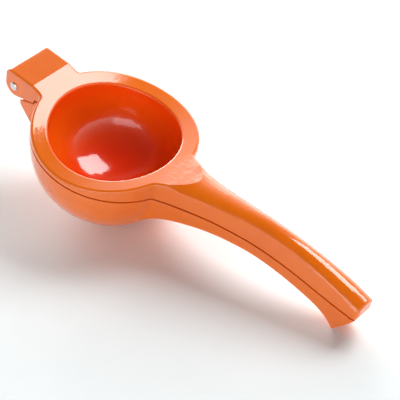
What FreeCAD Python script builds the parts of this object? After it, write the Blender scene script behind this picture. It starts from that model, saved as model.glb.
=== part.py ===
import FreeCAD, Part
import os
from math import sqrt, cos, sin, tan, radians, degrees, pi, atan2
from FreeCAD import Vector as V

# ---------------------------------------------------------------- dimensions
# Design frame: the parting plane of the ring is z = 0, +X runs to the grip
# end, the hinge pin lies along Y, and the bowl axis is x = y = 0.
RING_R = 45.0            # outer radius of ring and bowl rim
RIM_R = 37.0             # inner edge of the flat ring face
RIM_FILLET = 1.4         # rounding from ring face into the cup
GAP = 1.0                # parting gap between the two castings
PART_EDGE = 0.4          # rounding of both castings along the gap
CUP_DEPTH = 31.5         # cup depth below the parting plane
CUP_WALL = 3.0           # wall of the pressing dome
BOWL_DEPTH = 46.0        # outside depth of the bowl
BOWL_WALL = 3.0
BOWL_POWER = 2.25        # superellipse power of the bowl profile
# ring face height over the parting plane along X: a shallow saddle
FACE_Z0, FACE_K1, FACE_K2, FACE_K2_BACK = 3.7, 2.25, 7.0, 6.3
# hinge
PIN_X, PIN_Z = -62.5, -1.5
PIN_R = 2.5
PIN_CLEAR = 0.05         # running clearance of the pin in the tongue
PIN_PROUD = 0.8          # pin stands out of each ear by this much
EAR_R = 6.3              # barrel of the ear round the pin
BLOCK_W = 28.5           # width of the hinge block
BLOCK_BACK_X = -69.6
BLOCK_TOP_Z = 7.8        # top of the block at its back edge
FOLD_X = -49.5          # crease between ring face and block top
BACK_ROUND = 4.2
TONGUE_W = 13.4          # tongue of the lower casting between the ears
SLOT_W = 14.0
SLOT_TOP_Z = 4.6
SLOT_FRONT_X = -48.2
KNUCKLE_R = 5.4
# strainer
HOLE_D = 5.0
HOLE_RINGS = ((0.0, 1, 0.0), (10.0, 6, 30.0), (19.5, 12, 15.0))

# grip profiles along X: half width, parting height, top of the side face,
# crest of the crown, underside
HALF_W = [(34.0, 22.6), (38.0, 18.9), (41.0, 16.5), (44.0, 14.6), (47.0, 13.3), (50.0, 12.3), (56.0, 10.9), (62.0, 9.7),
          (68.0, 8.7), (74.0, 7.9), (80.0, 7.3), (86.0, 6.8), (92.0, 6.4), (98.0, 6.0),
          (104.0, 5.75), (112.0, 5.6), (122.0, 5.5), (132.0, 5.55), (142.0, 5.75), (152.0, 6.0),
          (162.0, 6.2), (170.0, 6.3)]
PARTING = [(38.0, 0.0), (44.0, 0.0), (50.0, 0.75), (56.0, 2.0), (62.0, 3.4), (68.0, 4.8),
           (74.0, 6.3), (80.0, 7.7), (86.0, 9.0), (92.0, 10.2), (98.0, 11.3), (104.0, 12.2),
           (110.0, 12.95), (116.0, 13.5), (122.0, 13.9), (128.0, 14.15), (134.0, 14.3),
           (140.0, 14.45), (146.0, 14.65), (152.0, 14.9), (158.0, 15.2), (164.0, 15.6), (172.0, 16.2)]
SIDE_TOP = [(40.0, 10.3), (46.0, 11.3), (50.0, 12.0), (56.0, 13.2), (62.0, 14.6), (68.0, 16.1), (74.0, 17.6),
            (80.0, 19.05), (86.0, 20.45), (92.0, 21.8), (98.0, 23.1), (104.0, 24.2), (110.0, 25.0),
            (116.0, 25.6), (122.0, 26.0), (128.0, 26.2), (134.0, 26.25), (140.0, 26.1),
            (146.0, 25.8), (152.0, 25.25), (158.0, 24.4), (164.0, 23.3), (172.0, 21.5)]
CROWN = [(40.0, 7.0), (50.0, 5.6), (56.0, 4.7), (62.0, 4.1), (70.0, 3.8), (90.0, 3.6), (170.0, 3.4)]
UNDER = [(36.0, -20.5), (40.0, -18.3), (44.0, -16.0), (50.0, -13.0), (56.0, -10.3), (62.0, -7.9), (68.0, -5.6),
         (74.0, -3.5), (80.0, -1.55), (86.0, 0.15), (92.0, 1.65), (98.0, 2.95), (104.0, 3.95),
         (110.0, 4.65), (116.0, 5.1), (122.0, 5.3), (128.0, 5.3), (134.0, 5.15), (140.0, 4.85),
         (145.0, 4.35), (150.0, 3.1), (154.5, 0.75)]
HEEL = (158.2, -0.7)
END_LOW = (167.6, 15.2)
END_HIGH = (168.6, 17.5)


def interp(table, x):
    if x <= table[0][0]:
        return table[0][1]
    for (x0, y0), (x1, y1) in zip(table, table[1:]):
        if x <= x1:
            return y0 + (y1 - y0) * (x - x0) / (x1 - x0)
    return table[-1][1]


def face_z(x):
    k2 = FACE_K2 if x > 0 else FACE_K2_BACK
    u = x / RING_R
    return FACE_Z0 + FACE_K1 * u + k2 * u * u


def spline(points, start=None):
    """Smooth curve through points, leaving along start if it is given."""
    c = Part.BSplineCurve()
    pts = [V(*p) for p in points]
    if start:
        c.interpolate(pts, InitialTangent=V(*start), FinalTangent=pts[-1] - pts[-2])
    else:
        c.interpolate(pts)
    return c.toShape()


def line(a, b):
    return Part.makeLine(V(*a), V(*b))


def side_solid(edges, half):
    """Closed outline in the XZ plane pushed out to +-half along Y."""
    w = Part.Wire(Part.__sortEdges__(edges))
    f = Part.Face(w)
    f.translate(V(0, -half, 0))
    return f.extrude(V(0, 2 * half, 0))


def plan_solid(edges, z0, z1):
    w = Part.Wire(Part.__sortEdges__(edges))
    f = Part.Face(w)
    f.translate(V(0, 0, z0))
    return f.extrude(V(0, 0, z1 - z0))


# ---------------------------------------------------------------- plan outline
def grip_plan(end_x, corner=2.6):
    """Neck and grip outline seen from above, closed inside the ring."""
    pts = [(x, w) for x, w in HALF_W if x < end_x - corner - 2.0]
    wl = interp(HALF_W, end_x - corner)
    pts.append((end_x - corner, wl))
    x0 = 26.0
    top = [(x, w, 0) for x, w in pts]
    bot = [(x, -w, 0) for x, w in pts]
    m = corner * (1 - sqrt(0.5))
    a1 = Part.Arc(V(end_x - corner, wl, 0), V(end_x - m, wl - m, 0), V(end_x, wl - corner, 0)).toShape()
    a2 = Part.Arc(V(end_x - corner, -wl, 0), V(end_x - m, -wl + m, 0), V(end_x, -wl + corner, 0)).toShape()
    e = [spline(top), a1, line((end_x, wl - corner, 0), (end_x, -wl + corner, 0)), a2, spline(bot)]
    e.append(line((pts[0][0], pts[0][1], 0), (x0, pts[0][1] + 3.0, 0)))
    e.append(line((pts[0][0], -pts[0][1], 0), (x0, -pts[0][1] - 3.0, 0)))
    e.append(line((x0, pts[0][1] + 3.0, 0), (x0, -pts[0][1] - 3.0, 0)))
    return e


def plan_body(end_x, z0, z1):
    """Ring disc + neck + grip as one prism with rounded neck corners."""
    grip = plan_solid(grip_plan(end_x), z0, z1)
    disc = Part.makeCylinder(RING_R, z1 - z0, V(0, 0, z0))
    block = Part.makeBox(-30.0 - BLOCK_BACK_X, BLOCK_W, z1 - z0, V(BLOCK_BACK_X, -BLOCK_W / 2, z0))
    body = disc.fuse(grip).fuse(block).removeSplitter().Solids[0]
    return body


def upright(body, x0, x1):
    return [e for e in body.Edges if e.BoundBox.ZLength > 20 and e.BoundBox.XLength < 0.1
            and e.BoundBox.YLength < 0.1 and x0 < e.BoundBox.XMin < x1]


def rounded_plan(end_x, z0, z1):
    """Plan prism with its concave upright corners rounded."""
    body = plan_body(end_x, z0, z1)
    body = body.makeFillet(5.0, [e for e in upright(body, 40, 44) if 12 < abs(e.BoundBox.YMin) < 19])
    return body.makeFillet(2.5, upright(body, -44, -41))


# ---------------------------------------------------------------- upper casting
def crown_tool():
    """Large solid whose roof is the rounded crown of the grip."""
    secs = []
    xs = [34.0, 40.0, 44.0, 47.0, 50.0, 56.0, 62.0, 68.0, 76.0, 86.0, 98.0, 112.0, 128.0, 144.0, 158.0, 176.0]
    for x in xs:
        h = interp(HALF_W, x)
        zs = interp(SIDE_TOP, x)
        c = interp(CROWN, x)
        u = interp([(40.0, 0.62), (50.0, 0.84), (58.0, 0.92), (66.0, 0.94)], x)
        zs += interp([(34.0, 18.0), (40.0, 10.0), (44.0, 4.2), (47.0, 1.7), (50.0, 1.0), (56.0, 0.0)], x)
        # elliptical arch through (+-h, zs) with its crest c above
        a = h / u
        b = c / (1 - sqrt(1 - u * u))
        pts = []
        n = 8
        for i in range(-n, n + 1):
            u = 0.99 * i / n
            y = a * u
            z = zs + c - b + b * sqrt(1 - u * u)
            pts.append((x, y, z))
        top = spline(pts)
        yl, zl = pts[0][1], pts[0][2]
        e = [top, line((x, yl, zl), (x, yl, -60)), line((x, yl, -60), (x, -yl, -60)), line((x, -yl, -60), (x, -yl, zl))]
        secs.append(Part.Wire(Part.__sortEdges__(e)))
    loft = Part.makeLoft(secs, True, False)
    box = Part.makeBox(152, 200, 140, V(42.6 - 152, -100, -60))
    return loft, box


def upper_side():
    """Side view of the upper casting: parting line below, face line above."""
    zb = GAP / 2
    low = [(x, 0, z + zb) for x, z in PARTING if x >= 44.0]
    e = [line((BLOCK_BACK_X, 0, zb), (44.0, 0, zb)), spline(low, (1, 0, 0))]
    xe, ze = low[-1][0], low[-1][2]
    xs = [FOLD_X + i * (50.0 - FOLD_X) / 16 for i in range(17)]
    top = [(x, 0, face_z(x)) for x in xs]
    # the flat face runs on over the neck and leaves through the crown
    top += [(55.0, 0, 16.6), (60.0, 0, 18.6), (66.0, 0, 21.6), (76.0, 0, 27.5)]
    e += [spline(top), line(top[-1], (100, 0, 45)), line((100, 0, 45), (xe, 0, 45)), line((xe, 0, 45), (xe, 0, ze))]
    bx, tb, R = BLOCK_BACK_X, BLOCK_TOP_Z, BACK_ROUND
    m = R * (1 - sqrt(0.5))
    e.append(line((bx, 0, zb), (bx, 0, tb - R)))
    e.append(Part.Arc(V(bx, 0, tb - R), V(bx + m, 0, tb - m), V(bx + R, 0, tb)).toShape())
    e.append(line((bx + R, 0, tb), top[0]))
    return side_solid(e, 60.0)


def ear_outline(dr=0.0):
    """Closed outline of the two ears seen from the side, up to z = 2."""
    r = EAR_R + dr
    bx = BLOCK_BACK_X - dr
    px, pz = -47.6, -2.7 - dr
    # tangent from (px, pz) to the barrel circle, lower side
    d = sqrt((px - PIN_X) ** 2 + (pz - PIN_Z) ** 2)
    ang = atan2(pz - PIN_Z, px - PIN_X) - atan2(sqrt(d * d - r * r), r)
    ab = -pi + radians(14)
    t = (PIN_X + r * cos(ang), 0, PIN_Z + r * sin(ang))
    m = (PIN_X + r * cos((ang + ab) / 2), 0, PIN_Z + r * sin((ang + ab) / 2))
    b = (PIN_X + r * cos(ab), 0, PIN_Z + r * sin(ab))
    q = (bx, 0, PIN_Z + 1.5)
    top = 2.0
    e = [line((px, 0, pz), t), Part.Arc(V(*t), V(*m), V(*b)).toShape(), line(b, q), line(q, (bx, 0, top))]
    e += [line((bx, 0, top), (-44.0, 0, top)), line((-44.0, 0, top), (-44.0, 0, GAP / 2)),
          line((-44.0, 0, GAP / 2), (-46.6 , 0, GAP / 2)), line((-46.6, 0, GAP / 2), (px, 0, pz))]
    return e


def revolve(points_edges):
    w = Part.Wire(Part.__sortEdges__(points_edges))
    return Part.Face(w).revolve(V(0, 0, 0), V(0, 0, 1), 360)


def cup_profile(a, d, power, z_top, n=16):
    """Bowl-shaped solid of revolution: superellipse below z = 0, straight above."""
    pts = []
    for i in range(n + 1):
        t = pi / 2 * i / n
        pts.append((a * cos(t) ** (2 / power) if i < n else 0.0, 0, -d * sin(t) ** (2 / power)))
    c = Part.BSplineCurve()
    c.interpolate([V(*p) for p in pts], InitialTangent=V(0, 0, -1), FinalTangent=V(-1, 0, 0))
    return revolve([c.toShape(), line((0, 0, -d), (0, 0, z_top)), line((0, 0, z_top), (a, 0, z_top)),
                    line((a, 0, z_top), (a, 0, 0))])


def pick(shape, test):
    return [e for e in shape.Edges if test(e, e.BoundBox, e.CenterOfMass)]


def soften(shape, radius, edges, tag):
    """Round the edges given; edges that cannot be rounded are left sharp."""
    if not edges:
        print("no edges for", tag)
        return shape
    try:
        s = shape.makeFillet(radius, edges)
        if s.isValid() and len(s.Solids) == 1 and s.Volume > 0:
            return s.Solids[0]
    except Exception:
        pass
    print("left sharp:", tag, len(edges))
    return shape


def press_arm():
    side = upper_side()
    plan = rounded_plan(END_HIGH[0], -5, 60)
    body = side.common(plan)
    loft, box = crown_tool()
    body = body.common(box.fuse(loft))
    # slanted end of the grip
    body = body.cut(end_cutter())
    block = side_solid(ear_outline(), BLOCK_W / 2)
    body = body.fuse(block)
    # pressing dome below the ring, then the cup hollowed out of it
    dome = cup_profile(RIM_R - RIM_FILLET + CUP_WALL, CUP_DEPTH + CUP_WALL, 2.1, 3.0)
    body = body.fuse(dome)
    cup = cup_profile(RIM_R - RIM_FILLET, CUP_DEPTH, 2.1, 40.0)
    body = body.cut(cup)
    # slot between the two ears, closed above by the web
    slot = Part.makeBox(SLOT_FRONT_X + 90, SLOT_W, SLOT_TOP_Z + 40, V(-90, -SLOT_W / 2, -40))
    body = body.cut(slot)
    body = body.cut(Part.makeBox(46.0, SLOT_W, 40 + GAP / 2, V(-90, -SLOT_W / 2, -40)))
    body = body.removeSplitter().Solids[0]
    body = round_upper(body)
    bore = Part.makeCylinder(PIN_R - 0.01, 60, V(PIN_X, -30, PIN_Z), V(0, 1, 0))
    body = body.cut(bore)
    return body.Solids[0]


def mid(e):
    return e.valueAt((e.FirstParameter + e.LastParameter) / 2)


def top_edges(body):
    """Convex edges between the upright wall and the face, block and crown."""
    sel = []
    for e in body.Edges:
        if e.Length < 0.02 or e.BoundBox.XLength < 0.05 and e.BoundBox.YLength < 0.05:
            continue
        m = mid(e)
        if m.x > 166.5:
            continue
        r = sqrt(m.x ** 2 + m.y ** 2)
        on_ring = abs(r - RING_R) < 0.08
        on_grip = m.x > 38 and abs(m.y) > interp(HALF_W, m.x) - 0.6
        on_block = abs(abs(m.y) - BLOCK_W / 2) < 2.6 and m.x < -38 and r > RING_R - 0.1
        high = m.z > (interp(PARTING, m.x) + 2.0 if m.x > 40 else 2.9)
        if (on_ring or on_grip or on_block) and high:
            sel.append(e)
    return sel


def end_edges(body, known):
    """Edges round the sloping end face of the upper grip."""
    sel = []
    for e in body.Edges:
        m, b = mid(e), e.BoundBox
        upright_edge = b.ZLength > 2.5 and b.XLength < 1.9 and b.YLength < 0.3
        if (m.x > 165.5 and e.Length > 0.3 and m.z > interp(PARTING, m.x) + 1.5 and not upright_edge
                and not any(e.isSame(k) for k in known)):
            sel.append(e)
    return sel


def round_upper(body):
    edges = top_edges(body)
    edges += end_edges(body, edges)
    done = False
    for r in (1.3, 1.1, 0.9):
        b2 = soften(body, r, edges, "outer edge %.1f" % r)
        if b2 is not body:
            body, done = b2, True
            break
    r_in = RIM_R - RIM_FILLET
    rim = [e for e in body.Edges if abs(sqrt(mid(e).x ** 2 + mid(e).y ** 2) - r_in) < 0.05 and mid(e).z > 2.5
           and e.BoundBox.ZLength < 8 and e.Length > 2]
    body = soften(body, RIM_FILLET, rim, "cup rim")
    edge = [e for e in body.Edges if e.Length > 0.3 and mid(e).x > -44.6 and
            abs(mid(e).z - interp(PARTING, mid(e).x) - GAP / 2) < 0.25 and
            sqrt(mid(e).x ** 2 + mid(e).y ** 2) > RING_R - 0.1 and (mid(e).x < 44 or abs(mid(e).y) > 3)]
    return soften(body, PART_EDGE, edge, "parting edge")


def end_cutter():
    """Wedge that leaves the sloping end face of both grips."""
    dx, dz = END_LOW[0] - HEEL[0], END_LOW[1] - HEEL[1]
    k = dx / dz
    z1 = 60.0
    zl = -30.0
    e = [line((HEEL[0] + k * (zl - HEEL[1]), 0, zl), (END_LOW[0], 0, END_LOW[1])),
         line((END_LOW[0], 0, END_LOW[1]), (END_HIGH[0], 0, END_HIGH[1] + 1)),
         line((END_HIGH[0], 0, END_HIGH[1] + 1), (END_HIGH[0] - 1.5, 0, z1)),
         line((END_HIGH[0] - 1.5, 0, z1), (230, 0, z1)), line((230, 0, z1), (230, 0, zl)),
         line((230, 0, zl), (HEEL[0] + k * (zl - HEEL[1]), 0, zl))]
    return side_solid(e, 60.0)


# ---------------------------------------------------------------- lower casting
def lower_side():
    zt = -GAP / 2
    par = [(x, 0, z + zt) for x, z in PARTING if x >= 44.0]
    und = [(x, 0, z) for x, z in UNDER]
    e = [spline(par, (1, 0, 0)), line((34.0, 0, zt), (44.0, 0, zt)), spline(und)]
    e += [line((34.0, 0, zt), (34.0, 0, und[0][2])), line((34.0, 0, und[0][2]), und[0])]
    e += [line(und[-1], (HEEL[0], 0, HEEL[1])), line((HEEL[0], 0, HEEL[1]), (par[-1][0], 0, HEEL[1])),
          line((par[-1][0], 0, HEEL[1]), par[-1])]
    return side_solid(e, 60.0)


def tangled(e):
    return e.Length < 0.02


def bowl_arm():
    side = lower_side()
    grip = side.common(plan_solid(grip_plan(END_HIGH[0]), -60, 60)).cut(end_cutter())
    grip = grip.removeSplitter().Solids[0]
    under = [e for e in grip.Edges if e.Length > 20 and mid(e).x > 46 and mid(e).z < interp(PARTING, mid(e).x) - 4]
    grip = soften(grip, 1.8, under, "grip underside")
    body = grip.fuse(bowl_outer()).removeSplitter().Solids[0]
    # soft blend where the grip leaves the bowl
    joint = [e for e in body.Edges if 34 < mid(e).x < 46 and mid(e).z < -0.6 and not tangled(e)
             and e.BoundBox.XMax < 50 and sqrt(mid(e).x ** 2 + mid(e).y ** 2) > 40]
    body = soften(body, 3.0, joint, "neck blend")
    # full-width bracket under the ears
    br = [(-57.5, -8.3), (-57.2, -11.0), (-50.6, -16.9), (-34.5, -27.68), (-32.0, -GAP / 2), (-46.2, -GAP / 2),
          (-47.2, -3.3), (-52.5, -5.6)]
    e = [line((a[0], 0, a[1]), (b[0], 0, b[1])) for a, b in zip(br, br[1:] + br[:1])]
    body = body.fuse(side_solid(e, BLOCK_W / 2)).removeSplitter().Solids[0]
    half = BLOCK_W / 2
    sides = [e for e in body.Edges if abs(abs(mid(e).y) - half) < 0.01 and e.BoundBox.YLength < 0.05 and mid(e).x < -46.5]
    body = soften(body, 0.8, sides, "bracket sides")
    # tongue between the ears with its round knuckle
    t = TONGUE_W / 2
    kn = Part.makeCylinder(KNUCKLE_R, TONGUE_W, V(PIN_X, -t, PIN_Z), V(0, 1, 0))
    tg = [(PIN_X + 1.2, PIN_Z + KNUCKLE_R - 0.14), (-55.0, 2.6), (-49.2, -GAP / 2 - 0.6), (-40.0, -GAP / 2 - 0.6), (-40.0, -22.0),
          (-52.0, -15.4), (-57.2, -11.0), (PIN_X - 3.9, PIN_Z - 3.73)]
    e = [line((a[0], 0, a[1]), (b[0], 0, b[1])) for a, b in zip(tg, tg[1:] + tg[:1])]
    body = body.fuse(kn.fuse(side_solid(e, t)))
    body = body.cut(bowl_inner()).removeSplitter().Solids[0]
    rim = [e for e in body.Edges if abs(mid(e).z + GAP / 2) < 0.01 and abs(sqrt(mid(e).x ** 2 + mid(e).y ** 2) - RING_R + BOWL_WALL) < 0.1
           and e.Length > 5]
    body = soften(body, 0.8, rim, "bowl rim")
    edge = [e for e in body.Edges if e.Length > 0.3 and mid(e).x > -44 and
            abs(mid(e).z - interp(PARTING, mid(e).x) + GAP / 2) < 0.25 and
            (sqrt(mid(e).x ** 2 + mid(e).y ** 2) > RING_R - 0.1) and (mid(e).x < 44 or abs(mid(e).y) > 3)]
    body = soften(body, PART_EDGE, edge, "parting edge")
    bore = Part.makeCylinder(PIN_R + PIN_CLEAR, 60, V(PIN_X, -30, PIN_Z), V(0, 1, 0))
    body = body.cut(bore)
    for rad, count, start in HOLE_RINGS:
        for i in range(count):
            a = radians(start + 360.0 * i / count)
            body = body.cut(Part.makeCylinder(HOLE_D / 2, 30, V(rad * cos(a), rad * sin(a), -BOWL_DEPTH - 10)))
    return body.Solids[0]


def bowl_outer():
    s = cup_profile(RING_R, BOWL_DEPTH, BOWL_POWER, 1.0)
    return s.cut(Part.makeBox(200, 200, 50, V(-100, -100, -GAP / 2)))


def bowl_inner():
    return cup_profile(RING_R - BOWL_WALL, BOWL_DEPTH - BOWL_WALL, BOWL_POWER, 30.0)


def hinge_pin():
    L = BLOCK_W + 2 * PIN_PROUD
    p = Part.makeCylinder(PIN_R, L, V(PIN_X, -L / 2, PIN_Z), V(0, 1, 0))
    return p.makeChamfer(0.35, [e for e in p.Edges if abs(e.CenterOfMass.y) > L / 2 - 0.01]).Solids[0]


def low(shape):
    return shape.optimalBoundingBox(False, False).ZMin


def turned(shape, angle):
    c = shape.copy()
    c.rotate(V(0, 0, 0), V(0, 1, 0), angle)
    return c


def rest_angle(arm):
    """Tilt at which the bowl bottom and the heel stand on one level."""
    bowl = arm.common(Part.makeBox(160, 200, 200, V(-80, -100, -100)))
    foot = arm.common(Part.makeBox(160, 200, 200, V(120, -100, -100)))
    lo, hi = 5.0, 30.0
    for _ in range(22):
        mid = (lo + hi) / 2
        if low(turned(foot, mid)) > low(turned(bowl, mid)):
            lo = mid
        else:
            hi = mid
    return (lo + hi) / 2


def main():
    os.makedirs("parts", exist_ok=True)
    shapes = {"press_arm": press_arm(), "bowl_arm": bowl_arm(), "hinge_pin": hinge_pin()}
    angle = rest_angle(shapes["bowl_arm"])
    shapes = {n: turned(s, angle) for n, s in shapes.items()}
    boxes = [s.optimalBoundingBox(False, False) for s in shapes.values()]
    x0 = (min(b.XMin for b in boxes) + max(b.XMax for b in boxes)) / 2
    z0 = min(b.ZMin for b in boxes)
    a = radians(angle)
    px, pz = PIN_X * cos(a) + PIN_Z * sin(a) - x0, -PIN_X * sin(a) + PIN_Z * cos(a) - z0
    print("rest angle", angle, "shift", -x0, -z0, "pin at", px, pz)
    for n, s in shapes.items():
        s.translate(V(-x0, 0, -z0))
        print(n, s.isValid(), len(s.Solids), round(s.Volume), len(s.Faces), s.optimalBoundingBox(False, False))
        s.exportStep("parts/%s.step" % n)


if __name__ == "__main__":
    main()
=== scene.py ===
import bpy
from math import sin, cos, radians
from mathutils import Vector, Matrix

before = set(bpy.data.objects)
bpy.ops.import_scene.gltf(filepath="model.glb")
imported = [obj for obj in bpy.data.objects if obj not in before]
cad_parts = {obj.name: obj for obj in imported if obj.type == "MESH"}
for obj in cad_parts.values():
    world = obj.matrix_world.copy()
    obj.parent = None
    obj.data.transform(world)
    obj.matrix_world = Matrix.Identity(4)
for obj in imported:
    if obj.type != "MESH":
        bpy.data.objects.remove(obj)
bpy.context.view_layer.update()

# ------------------------------------------------------------------ frames
# Design frame of the tool (ring plane z = 0, grip along +X) to the row frame.
TILT = radians(16.915)
SHIFT = Vector((-0.050891, 0.0, 0.046698))


def to_row(v):
    x, y, z = v
    return Vector((x * cos(TILT) + z * sin(TILT), y, -x * sin(TILT) + z * cos(TILT)))


# ------------------------------------------------------------------ materials
def new_material(name):
    m = bpy.data.materials.new(name)
    m.use_nodes = True
    nt = m.node_tree
    bsdf = nt.nodes["Principled BSDF"]
    return m, nt, bsdf


def noise(nt, coord, scale, detail=2.0, rough=0.5):
    n = nt.nodes.new("ShaderNodeTexNoise")
    n.inputs["Scale"].default_value = scale
    n.inputs["Detail"].default_value = detail
    n.inputs["Roughness"].default_value = rough
    nt.links.new(coord, n.inputs["Vector"])
    return n.outputs["Fac"]


def ramp(nt, fac, stops):
    r = nt.nodes.new("ShaderNodeValToRGB")
    els = r.color_ramp.elements
    while len(els) < len(stops):
        els.new(0.5)
    for el, (p, c) in zip(els, stops):
        el.position = p
        el.color = c
    nt.links.new(fac, r.inputs["Fac"])
    return r.outputs["Color"]


def grey(v):
    return (v, v, v, 1.0)


def bump(nt, height, distance, strength, normal=None):
    b = nt.nodes.new("ShaderNodeBump")
    b.inputs["Distance"].default_value = distance
    b.inputs["Strength"].default_value = strength
    nt.links.new(height, b.inputs["Height"])
    if normal is not None:
        nt.links.new(normal, b.inputs["Normal"])
    return b.outputs["Normal"]


def enamel(name, cup):
    """Fired gloss coat: slightly wavy, with faint dust and fine marks; the cup version adds painted shade inside
    the cup.
    """
    m, nt, bsdf = new_material(name)
    co = nt.nodes.new("ShaderNodeTexCoord").outputs["Object"]
    # broad tone variation of the coat
    tone = noise(nt, co, 22.0, 3.0, 0.55)
    outer = ramp(nt, tone, [(0.30, (0.820, 0.142, 0.0026, 1.0)), (0.70, (0.880, 0.168, 0.0034, 1.0))])
    # painted shade of the recess: a deeper, redder copy of the coat colour for inside the cup
    painted_cup_shade = ramp(nt, tone, [(0.30, (0.930, 0.016, 0.0012, 1.0)), (0.70, (0.960, 0.024, 0.0016, 1.0))])
    # distance from the middle of the cup: painted shade there, the inside of the cup is painted deeper and redder
    middle = SHIFT + to_row((0.0, 0.0, 0.0025))
    gap = nt.nodes.new("ShaderNodeVectorMath")
    gap.operation = "DISTANCE"
    nt.links.new(co, gap.inputs[0])
    gap.inputs[1].default_value = middle
    scaled = nt.nodes.new("ShaderNodeMath")
    scaled.operation = "MULTIPLY"
    scaled.inputs[1].default_value = 20.0
    nt.links.new(gap.outputs["Value"], scaled.inputs[0])
    cup_shade_mask = ramp(nt, scaled.outputs[0], [(0.0, grey(1.0)), (0.560, grey(0.95)), (0.700, grey(0.72)), (0.745, grey(0.0))])
    # only the press arm gets the painted cup shade, masked by distance from the cup's middle
    if cup:
        blend = nt.nodes.new("ShaderNodeMix")
        blend.data_type = "RGBA"
        nt.links.new(cup_shade_mask, blend.inputs["Factor"])
        nt.links.new(outer, blend.inputs[6])
        nt.links.new(painted_cup_shade, blend.inputs[7])
        base = blend.outputs[2]
    else:
        base = outer
    # tiny dust specks, slightly paler
    specks = noise(nt, co, 1900.0, 1.0, 0.4)
    mask = ramp(nt, specks, [(0.735, grey(0.0)), (0.80, grey(1.0))])
    mix = nt.nodes.new("ShaderNodeMix")
    mix.data_type = "RGBA"
    nt.links.new(mask, mix.inputs["Factor"])
    nt.links.new(base, mix.inputs[6])
    mix.inputs[7].default_value = (0.93, 0.24, 0.03, 1.0)
    nt.links.new(mix.outputs[2], bsdf.inputs["Base Color"])
    # polish varies where hands rub the coat
    rub = noise(nt, co, 60.0, 4.0, 0.6)
    rough = ramp(nt, rub, [(0.30, grey(0.10)), (0.75, grey(0.19))])
    nt.links.new(rough, bsdf.inputs["Roughness"])
    bsdf.inputs["IOR"].default_value = 1.50
    bsdf.inputs["Specular IOR Level"].default_value = 0.5
    bsdf.inputs["Coat Weight"].default_value = 0.60
    bsdf.inputs["Coat Roughness"].default_value = 0.035
    bsdf.inputs["Coat IOR"].default_value = 1.5
    # orange peel, then a broader sag of the fired coat, then dust
    n1 = bump(nt, noise(nt, co, 420.0, 1.5, 0.4), 0.00010, 0.45)
    n2 = bump(nt, noise(nt, co, 110.0, 1.0, 0.4), 0.00060, 0.10, n1)
    n3 = bump(nt, mask, 0.00003, 0.35, n2)
    nt.links.new(n3, bsdf.inputs["Normal"])
    nt.links.new(n2, bsdf.inputs["Coat Normal"])
    return m


def steel():
    """Turned pin end: fine rings about the pin's own axis, light scratches."""
    m, nt, bsdf = new_material("pin_steel")
    co = nt.nodes.new("ShaderNodeTexCoord").outputs["Object"]
    mp = nt.nodes.new("ShaderNodeMapping")
    mp.inputs["Location"].default_value = (0.111124, 0.0, -0.063448)
    nt.links.new(co, mp.inputs["Vector"])
    sep = nt.nodes.new("ShaderNodeSeparateXYZ")
    nt.links.new(mp.outputs["Vector"], sep.inputs[0])
    com = nt.nodes.new("ShaderNodeCombineXYZ")
    nt.links.new(sep.outputs["X"], com.inputs["X"])
    nt.links.new(sep.outputs["Z"], com.inputs["Y"])
    ln = nt.nodes.new("ShaderNodeVectorMath")
    ln.operation = "LENGTH"
    nt.links.new(com.outputs[0], ln.inputs[0])
    wave = nt.nodes.new("ShaderNodeMath")
    wave.operation = "MULTIPLY"
    wave.inputs[1].default_value = 26000.0
    nt.links.new(ln.outputs["Value"], wave.inputs[0])
    sn = nt.nodes.new("ShaderNodeMath")
    sn.operation = "SINE"
    nt.links.new(wave.outputs[0], sn.inputs[0])
    tone = noise(nt, co, 900.0, 3.0, 0.6)
    base = ramp(nt, tone, [(0.3, (0.62, 0.61, 0.60, 1.0)), (0.7, (0.80, 0.79, 0.78, 1.0))])
    nt.links.new(base, bsdf.inputs["Base Color"])
    bsdf.inputs["Metallic"].default_value = 1.0
    rough = ramp(nt, noise(nt, co, 1500.0, 2.0, 0.5), [(0.3, grey(0.20)), (0.7, grey(0.36))])
    nt.links.new(rough, bsdf.inputs["Roughness"])
    n1 = bump(nt, sn.outputs[0], 0.00001, 0.25)
    n2 = bump(nt, noise(nt, co, 3000.0, 2.0, 0.5), 0.00001, 0.4, n1)
    nt.links.new(n2, bsdf.inputs["Normal"])
    return m


def table():
    m, nt, bsdf = new_material("studio_table")
    co = nt.nodes.new("ShaderNodeTexCoord").outputs["Object"]
    tone = noise(nt, co, 30.0, 3.0, 0.5)
    base = ramp(nt, tone, [(0.3, (0.900, 0.948, 0.952, 1.0)), (0.7, (0.920, 0.966, 0.970, 1.0))])
    nt.links.new(base, bsdf.inputs["Base Color"])
    bsdf.inputs["Roughness"].default_value = 0.7
    bsdf.inputs["Specular IOR Level"].default_value = 0.2
    return m


ENAMEL_CUP, ENAMEL, STEEL = enamel("orange_enamel_cup", True), enamel("orange_enamel", False), steel()
for name, mat in (("press_arm", ENAMEL_CUP), ("bowl_arm", ENAMEL), ("hinge_pin", STEEL)):
    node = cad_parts[name]
    for s in node.material_slots:
        s.material = mat
    if not node.material_slots:
        node.data.materials.append(mat)

# ------------------------------------------------------------------ stage
bpy.ops.mesh.primitive_plane_add(size=8.0, location=(0, 0, -0.0002))
floor = bpy.context.object
floor.name = "floor"
floor.data.materials.append(table())

world = bpy.data.worlds.new("studio")
bpy.context.scene.world = world
world.use_nodes = True
wn = world.node_tree
bg = wn.nodes["Background"]
bg.inputs["Color"].default_value = (1.0, 1.0, 1.0, 1.0)
sky = wn.nodes.new("ShaderNodeTexCoord").outputs["Generated"]
part = wn.nodes.new("ShaderNodeSeparateXYZ")
wn.links.new(sky, part.inputs[0])
fade = ramp(wn, part.outputs["Z"], [(0.0, grey(1.6)), (0.16, grey(1.5)), (0.40, grey(0.36)), (0.62, grey(0.10)), (1.0, grey(0.05))])
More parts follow.
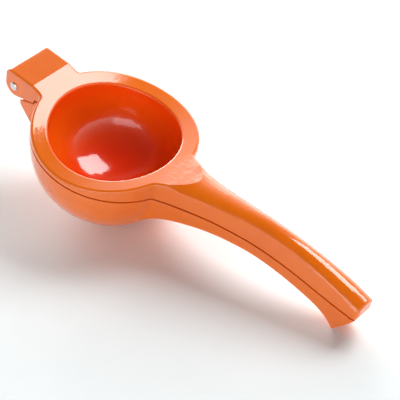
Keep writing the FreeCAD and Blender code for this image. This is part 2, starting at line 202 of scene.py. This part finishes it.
# soft glow of a white wall low on the left
side = wn.nodes.new("ShaderNodeVectorMath")
side.operation = "DOT_PRODUCT"
wn.links.new(sky, side.inputs[0])
side.inputs[1].default_value = Vector((-0.83, 0.53, 0.17)).normalized()
glow = ramp(wn, side.outputs["Value"], [(0.50, grey(0.0)), (0.70, grey(0.35)), (0.80, grey(1.1)), (0.86, grey(1.3)),
                                        (0.93, grey(1.7)), (0.99, grey(7.0))])
total = wn.nodes.new("ShaderNodeMath")
total.operation = "ADD"
wn.links.new(fade, total.inputs[0])
wn.links.new(glow, total.inputs[1])
wn.links.new(total.outputs[0], bg.inputs["Strength"])


def softbox(name, direction, distance, width, height, radiance, tall=(0.0, 0.77, -0.64), target=(-0.05, 0.0, 0.05)):
    """Rectangular light looking at the tool from a direction, long side along tall."""
    d = Vector(direction).normalized()
    y = Vector(tall)
    y = (y - d * y.dot(d)).normalized()
    x = y.cross(d)
    light = bpy.data.lights.new(name, "AREA")
    light.shape = "RECTANGLE"
    light.size, light.size_y = width, height
    light.energy = radiance * 3.14159 * width * height
    o = bpy.data.objects.new(name, light)
    bpy.context.scene.collection.objects.link(o)
    p = Vector(target) + d * distance
    o.matrix_world = Matrix(((x.x, y.x, d.x, p.x), (x.y, y.y, d.y, p.y), (x.z, y.z, d.z, p.z), (0, 0, 0, 1)))
    return o


softbox("softbox_back", (0.21, 0.605, 0.765), 1.1, 0.55, 0.66, 8.4)
softbox("softbox_far", (-0.55, 0.73, 0.40), 1.0, 0.34, 0.36, 1.6, tall=(0.0, 0.0, 1.0))
softbox("card_front", (0.36, -0.90, 0.22), 1.2, 1.20, 0.50, 1.9, tall=(0.0, 0.0, 1.0))

bpy.context.scene.view_settings.view_transform = "Standard"

# ------------------------------------------------------------------ camera
# Fitted to the photograph: focal length 1500 px on a 400 px frame.
RIGHT = to_row((0.72891, 0.66642, 0.15677)).normalized()
DOWN = to_row((0.59114, -0.49716, -0.63514)).normalized()
FWD = to_row((-0.34533, 0.55562, -0.75633)).normalized()
C = Vector((-0.045946, -0.033139, 0.801980))
cam_data = bpy.data.cameras.new("camera")
cam_data.sensor_width = 36.0
cam_data.lens = 135.0
cam_data.clip_start = 0.05
cam_data.clip_end = 50.0
cam = bpy.data.objects.new("camera", cam_data)
bpy.context.scene.collection.objects.link(cam)
place = SHIFT - (RIGHT * C.x + DOWN * C.y + FWD * C.z)
up = -DOWN
back = -FWD
cam.matrix_world = Matrix(((RIGHT.x, up.x, back.x, place.x), (RIGHT.y, up.y, back.y, place.y),
                           (RIGHT.z, up.z, back.z, place.z), (0.0, 0.0, 0.0, 1.0)))
bpy.context.scene.camera = cam
